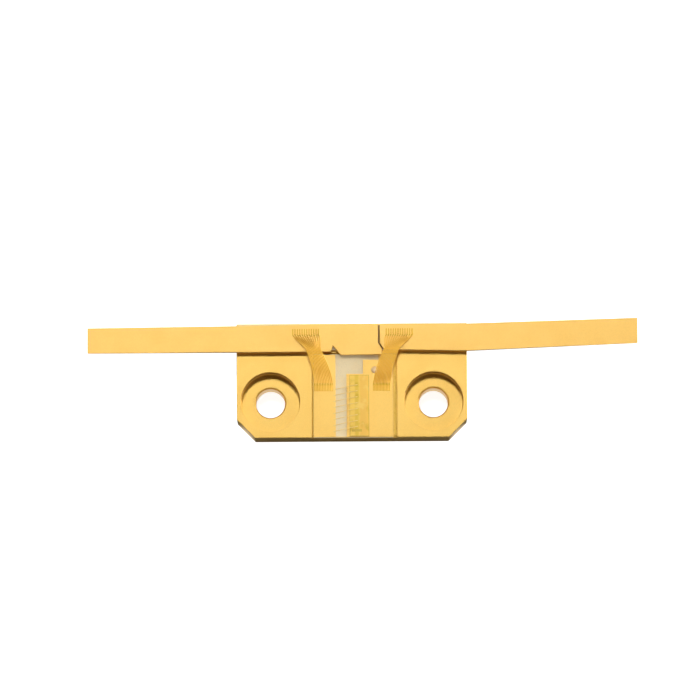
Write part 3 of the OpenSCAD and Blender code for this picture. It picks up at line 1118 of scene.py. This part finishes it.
@dataclass
class WireFan:
    """A fan of wires from a lead to a pad, narrow at its waist.

    Args:
        side: name of the fan's side, left or right.
        pad: the pad that its wires end on.
        wire: the wire's shape.
        waist_gap_mm: gap between neighbouring wires at the waist.
        waist_at: where the fan is narrowest, from 0 at the lead to 1 at the pad.
        bend: how fast the fan turns from its lead towards its pad.
        loop_mm: height of the loops above a straight run.
        skew: how far the loops lean towards their higher end.
        heel_mm: length of the bend beside a foot.
    """

    side: str
    pad: str
    wire: BondWire = field(default_factory=lambda: BondWire(0.05, 0.34))
    waist_gap_mm: float = 0.021
    waist_at: float = 0.32
    bend: float = 1.6
    loop_mm: float = 0.415
    skew: float = 0.85
    heel_mm: float = 0.1

    def _nodes(self) -> list[str]:
        """Returns the names of the fan's solids, in order."""
        return sorted(n for n in frame["nodes"] if n.startswith(f"{self.side}_wire_"))

    def _ends(self, node: str) -> tuple[float, float]:
        """Returns a wire's X on the lead and on the pad.

        Args:
            node: the wire's solid.

        Returns:
            The two places.
        """
        low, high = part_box(node)
        inset = self.wire.diameter_mm * MM * self.wire.foot_wide / 2 * math.cos(math.pi / 8)
        if self.side == "left":
            return low.x + inset, high.x - inset
        return high.x - inset, low.x + inset

    def bands(self) -> list[list[Span]]:
        """Returns the boxes of the two rows of flat wire ends, and those of the bends beside them, which get
        painted shade.
        """
        boxes = [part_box(node) for node in self._nodes()]
        low = Vector(min(box[0][i] for box in boxes) for i in range(3))
        high = Vector(max(box[1][i] for box in boxes) for i in range(3))
        foot, heel, overlap = self.wire.foot_mm * MM, self.heel_mm * MM, 0.02 * MM
        rows = []
        for start, end in ((0.0, foot), (foot - overlap, foot + heel)):
            on_lead = Vector((low.x, high.y - end, low.z)), Vector((high.x, high.y - start, high.z))
            on_pad = Vector((low.x, low.y + start, low.z)), Vector((high.x, low.y + end, high.z))
            rows.append([on_lead, on_pad])
        return rows

    def build(self, gold: Material) -> None:
        """Makes the fan's wires.

        Args:
            gold: the wires' finish.
        """
        nodes = self._nodes()
        ends = [self._ends(node) for node in nodes]
        middle = len(ends) // 2
        lead_x = (ends[0][0] + ends[-1][0]) / 2
        pad_x = (ends[0][1] + ends[-1][1]) / 2
        lead_span = ends[-1][0] - ends[0][0]
        pad_span = ends[-1][1] - ends[0][1]
        waist = (len(nodes) - 1) * (self.wire.diameter_mm + self.waist_gap_mm) * MM
        low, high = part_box(nodes[middle])
        foot = self.wire.foot_mm * MM
        rise = self.wire.diameter_mm * MM * self.wire.foot_flat / 2
        y_lead, y_pad = high.y - foot, low.y + foot
        z_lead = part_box(f"{self.side}_lead")[1].z + rise
        z_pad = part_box(self.pad)[1].z + rise

        def span(t: float) -> float:
            """Returns the fan's width at t."""
            if t < self.waist_at:
                return mix(lead_span, waist, ease(t / self.waist_at))
            return mix(waist, pad_span, ease((t - self.waist_at) / (1 - self.waist_at)))

        for index, node in enumerate(nodes):
            place = index / (len(nodes) - 1) - 0.5

            def run(t: float, place: float = place) -> Vector:
                """Returns the wire's point at t."""
                x = mix(pad_x, lead_x, (1 - t) ** self.bend) + place * span(t)
                z = mix(z_lead, z_pad, t) + self.loop_mm * MM * math.sin(math.pi * t**self.skew)
                return Vector((x, mix(y_lead, y_pad, t), z))

            wire = self.wire.sweep(f"{self.side}_bond_{index + 1:02d}", run(0), run(1), run, Vector((0, 1, 0)))
            adopt(wire, gold, "wire_gold", node)


@dataclass
class ChipWires:
    """The short wires from the chip's ridge over the bare ceramic to the left pad.

    Args:
        wire: the wire's shape.
        loop_mm: height of the loops above a straight run.
        skew: how far the loops lean towards their higher end.
    """

    wire: BondWire = field(default_factory=lambda: BondWire(0.03, 0.1, steps=24))
    loop_mm: float = 0.14
    skew: float = 0.85

    def build(self, gold: Material) -> None:
        """Makes the wires.

        Args:
            gold: the wires' finish.
        """
        rise = self.wire.diameter_mm * MM * self.wire.foot_flat / 2
        z_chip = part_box("chip_contact")[1].z + rise
        z_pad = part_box("left_pad")[1].z + rise
        foot = self.wire.foot_mm * MM
        half = self.wire.diameter_mm * MM * self.wire.foot_wide / 2
        for index, node in enumerate(sorted(n for n in frame["nodes"] if n.startswith("chip_wire_"))):
            low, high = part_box(node)
            tail_a = Vector((high.x, high.y - half, 0))
            tail_b = Vector((low.x, low.y + half, 0))
            along = (tail_b - tail_a).normalized()
            start, end = tail_a + along * foot, tail_b - along * foot
            start.z, end.z = z_chip, z_pad

            def run(t: float, start: Vector = start, end: Vector = end) -> Vector:
                """Returns the wire's point at t."""
                lift = self.loop_mm * MM * math.sin(math.pi * t**self.skew)
                return start.lerp(end, t) + Vector((0, 0, lift))

            wire = self.wire.sweep(f"chip_bond_{index + 1:02d}", start, end, run, -along)
            adopt(wire, gold, "wire_gold", node)


# Studio

@dataclass(frozen=True)
class Sun:
    """A far light.

    Args:
        name: its name.
        tilt_deg: its angle off the vertical.
        turn_deg: its turn from the back towards the left.
        size_deg: how wide it looks from the part.
        power: its strength.
        mirrored: whether glossy surfaces mirror it.
        colour: its colour.
    """

    name: str
    tilt_deg: float
    turn_deg: float
    size_deg: float
    power: float
    mirrored: bool = True
    colour: Colour = (1.0, 1.0, 1.0)

    def make(self) -> Object:
        """Returns the light as an object of the scene."""
        tilt, turn = math.radians(self.tilt_deg), math.radians(self.turn_deg)
        level = Vector((-math.sin(turn), math.cos(turn), 0.0)) * math.sin(tilt)
        towards = level + Vector((0.0, 0.0, math.cos(tilt)))
        data = bpy.data.lights.new(self.name, "SUN")
        data.energy, data.angle, data.color = self.power, math.radians(self.size_deg), self.colour
        lamp = place_in_scene(self.name, data)
        lamp.location = towards * LAMP_DISTANCE
        lamp.rotation_mode = "QUATERNION"
        lamp.rotation_quaternion = towards.to_track_quat("Z", "Y")
        lamp.visible_glossy = self.mirrored
        return lamp


@dataclass
class Studio:
    """The pale floor, the lights and the camera.

    Args:
        floor_half: half the floor's width.
        floor_drop_mm: how far the floor lies below the part.
        floor_glow: how much the floor shines of itself, so that shadows stay pale.
        backdrop_glow: how much the backdrop does.
        bench_glow: how much the bench that the part mirrors does.
        painted_shadow_margin_mm: how far round the block the bench carries a painted shadow.
        painted_shadow_fade_mm: half the width over which that painted shadow turns pale.
        dome_radius: radius of the pale backdrop behind the floor.
        suns: the key and side lights, what matt surfaces get of the key besides, and the
            soft overhead light on them.
        glints: the broad light that the wires alone mirror.
        zenith: brightness of the surroundings overhead.
        horizon: their brightness low down.
        band_top: sine of the elevation up to which they stay bright.
        band_end: sine of the elevation from which they are dark.
        camera_tilt_deg: angle of the view off the vertical, towards the front.
        camera_roll_deg: turn of the picture.
        lens: focal length in millimetres.
        view_width: width of what the camera sees at the block's top.
        aim_right: how far the view's middle lies to the right of the hole line's middle.
        aim_up: how far it lies behind it.
    """

    floor_half: float = 0.6
    floor_drop_mm: float = 0.01
    floor_glow: float = 0.85
    backdrop_glow: float = 0.95
    bench_glow: float = 0.45
    painted_shadow_margin_mm: float = 1.5
    painted_shadow_fade_mm: float = 4.0
    dome_radius: float = 1.0
    suns: tuple[Sun, ...] = (
        Sun("key", 19.0, 5.0, 9.0, 0.64),
        Sun("side", 58.0, -80.0, 30.0, 1.2),
        Sun("matt_key", 19.0, 5.0, 9.0, 0.45, False),
        Sun("tent", 0.0, 0.0, 150.0, 1.35, False, (0.93, 0.97, 1.0)),
    )
    glints: Sun = Sun("glints", 25.0, 180.0, 110.0, 1.75)
    zenith: float = 0.002
    horizon: float = 0.8
    band_top: float = 0.35
    band_end: float = 0.9
    camera_tilt_deg: float = 6.39
    camera_roll_deg: float = 0.35
    lens: float = 300.0
    view_width: float = 0.03857
    aim_right: float = -0.00011
    aim_up: float = 0.00283

    def lights(self) -> None:
        """Makes the suns and the pale surroundings."""
        for sun in self.suns:
            sun.make()
        wires = bpy.data.collections.new("wires")
        for piece in bpy.data.objects:
            if "_bond_" in piece.name:
                wires.objects.link(piece)
        self.glints.make().light_linking.receiver_collection = wires

        world = bpy.data.worlds.new("surroundings")
        world.use_nodes = True
        tree = world.node_tree
        place = tree.nodes.new("ShaderNodeTexCoord")
        split = tree.nodes.new("ShaderNodeSeparateXYZ")
        ramp = tree.nodes.new("ShaderNodeMapRange")
        ramp.interpolation_type = "SMOOTHSTEP"
        for name, value in (
            ("From Min", self.band_top),
            ("From Max", self.band_end),
            ("To Min", self.horizon),
            ("To Max", self.zenith),
        ):
            ramp.inputs[name].default_value = value
        tree.links.new(place.outputs["Generated"], split.inputs["Vector"])
        tree.links.new(split.outputs["Z"], ramp.inputs["Value"])
        tree.nodes["Background"].inputs["Color"].default_value = (1.0, 1.0, 1.0, 1.0)
        tree.links.new(ramp.outputs["Result"], tree.nodes["Background"].inputs["Strength"])
        bpy.context.scene.world = world

    def _sheet(self, name: str, gap: Optional[Span] = None) -> Object:
        """Makes a level square just below the part.

        Args:
            name: its name.
            gap: low and high corner of a rectangle to leave out of it.

        Returns:
            The square.
        """
        half, height = self.floor_half, -self.floor_drop_mm * MM
        low, high = gap or (Vector((0, 0, 0)), Vector((0, 0, 0)))
        xs, ys = (-half, low.x, high.x, half), (-half, low.y, high.y, half)
        corners = [Vector((x, y, height)) for y in ys for x in xs]
        cells = [(4 * r + c, 4 * r + c + 1, 4 * r + c + 5, 4 * r + c + 4) for r in range(3) for c in range(3)]
        middle = len(cells) // 2
        if gap:
            return new_piece(name, corners, cells[:middle] + cells[middle + 1 :])
        return new_piece(name, [corners[0], corners[3], corners[15], corners[12]], [(0, 1, 2, 3)])

    def _stage(self, piece: Object, glow: float, dark: Optional[Span] = None) -> None:
        """Papers a stage piece. The camera alone sees it, or, when it carries a painted shadow, all but the
        camera.

        Args:
            piece: the stage piece.
            glow: how much it shines of itself.
            dark: low and high corner of its painted shadow.
        """
        paper = StagePaper(f"{piece.name}_paper", (0.6, 0.6, 0.6), (0.57, 0.57, 0.57), glow)
        dress(piece, paper.make(dark, self.painted_shadow_fade_mm))
        piece.visible_camera = not dark
        piece.visible_diffuse = piece.visible_glossy = piece.visible_transmission = bool(dark)
        piece.visible_shadow = False

    def floor(self) -> None:
        """Makes the pale floor, the bench that the part mirrors with a painted shadow round the block, and the
        backdrop.
        """
        self._stage(self._sheet("floor"), self.floor_glow)
        low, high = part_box("heat_sink_block")
        margin = Vector((1, 1, 1)) * (self.painted_shadow_margin_mm + self.painted_shadow_fade_mm) * MM
        self._stage(self._sheet("bench", (low, high)), self.bench_glow, (low - margin, high + margin))
        shape = bmesh.new()
        bmesh.ops.create_icosphere(shape, subdivisions=4, radius=self.dome_radius)
        bmesh.ops.reverse_faces(shape, faces=shape.faces[:])
        mesh = bpy.data.meshes.new("backdrop")
        shape.to_mesh(mesh)
        shape.free()
        self._stage(place_in_scene("backdrop", mesh), self.backdrop_glow)

    def camera(self) -> None:
        """Makes the camera, above the part and a little in front of it."""
        tilt, roll = math.radians(self.camera_tilt_deg), math.radians(self.camera_roll_deg)
        right = Vector((1, 0, 0))
        up = Vector((0, math.cos(tilt), math.sin(tilt)))
        level = right.copy()
        right = level * math.cos(roll) - up * math.sin(roll)
        up = level * math.sin(roll) + up * math.cos(roll)
        back = right.cross(up)
        top = Vector((0, 0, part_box("heat_sink_block")[1].z))
        aim = top + right * self.aim_right + up * self.aim_up
        data = bpy.data.cameras.new("camera")
        data.lens = self.lens
        data.clip_start, data.clip_end = 0.01, 10.0
        distance = self.lens / data.sensor_width * self.view_width
        camera = place_in_scene("camera", data)
        axes = Matrix((right, up, back)).transposed().to_4x4()
        camera.matrix_world = Matrix.Translation(aim + back * distance) @ axes
        bpy.context.scene.camera = camera

    def build(self) -> None:
        """Makes the whole studio."""
        self.floor()
        self.lights()
        self.camera()
        bpy.context.scene.view_settings.view_transform = "Standard"


def main() -> None:
    """Builds and finishes the part and its studio."""
    logging.basicConfig(level=logging.INFO, format="%(name)s: %(message)s")
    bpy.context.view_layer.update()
    cream, grey, warm = (0.78, 0.65, 0.42), (0.64, 0.54, 0.38), (0.8, 0.61, 0.31)
    low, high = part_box("submount")
    rim, bead_right = 0.032 * MM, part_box("solder_bead")[1].x
    plate = (0.7, 0.565, 0.33), (0.58, 0.47, 0.3), (0.72, 0.53, 0.25)
    ceramic = GroundCeramic("ground_ceramic", *plate, stain_and_shade=(0.75, 0.47, 0.12)).make(
        [
            edge_strip("submount", low.x - MM, low.x + rim, low.y - MM, high.y, 0.06),
            edge_strip("submount", bead_right, high.x + MM, low.y - MM, high.y, 0.06),
            edge_strip("submount", low.x, high.x, low.y - MM, low.y + rim, 0.06),
        ]
    )
    slit, low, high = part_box("right_lead")[0].x, *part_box("lead_insulator")
    # painted shade: the insulator's top turns dark brown in and beside the slit between the leads
    insulator = GroundCeramic("insulator_ceramic", cream, grey, warm).make(
        [edge_strip("lead_insulator", slit - 0.3 * MM, slit + 0.4 * MM, low.y + rim, high.y - rim, 0.01)]
    )
    solder = DullSolder("dull_solder", (0.6, 0.57, 0.52), (0.3, 0.27, 0.22)).make()
    fans = WireFan("left", "left_pad"), WireFan("right", "chip_pad")
    # boxes of the wires' flat ends and of the bends beside them, which get painted shade
    shaded_feet, shaded_heels = (left + right for left, right in zip(*(fan.bands() for fan in fans)))
    wire_gold = DrawnWire("drawn_wire_gold", (0.93, 0.6, 0.105), (0.82, 0.5, 0.07), 0.56).make(shaded_feet, shaded_heels)
    fine_gold = DrawnWire("fine_wire_gold", (0.88, 0.66, 0.29), (0.8, 0.58, 0.22), 0.56).make()
    block = HeatSinkBlock()
    block.build()
    SolderRuns().build(block)
    RibbonLeads().build(insulator, solder)
    ChipOnSubmount().build(ceramic, solder)
    SolderBead().build(DullSolder("bead_solder", (0.97, 0.72, 0.42), (0.8, 0.54, 0.24), 0.6).make())
    for fan in fans:
        fan.build(wire_gold)
    ChipWires().build(fine_gold)
    Studio().build()


if __name__ == "__main__":
    main()
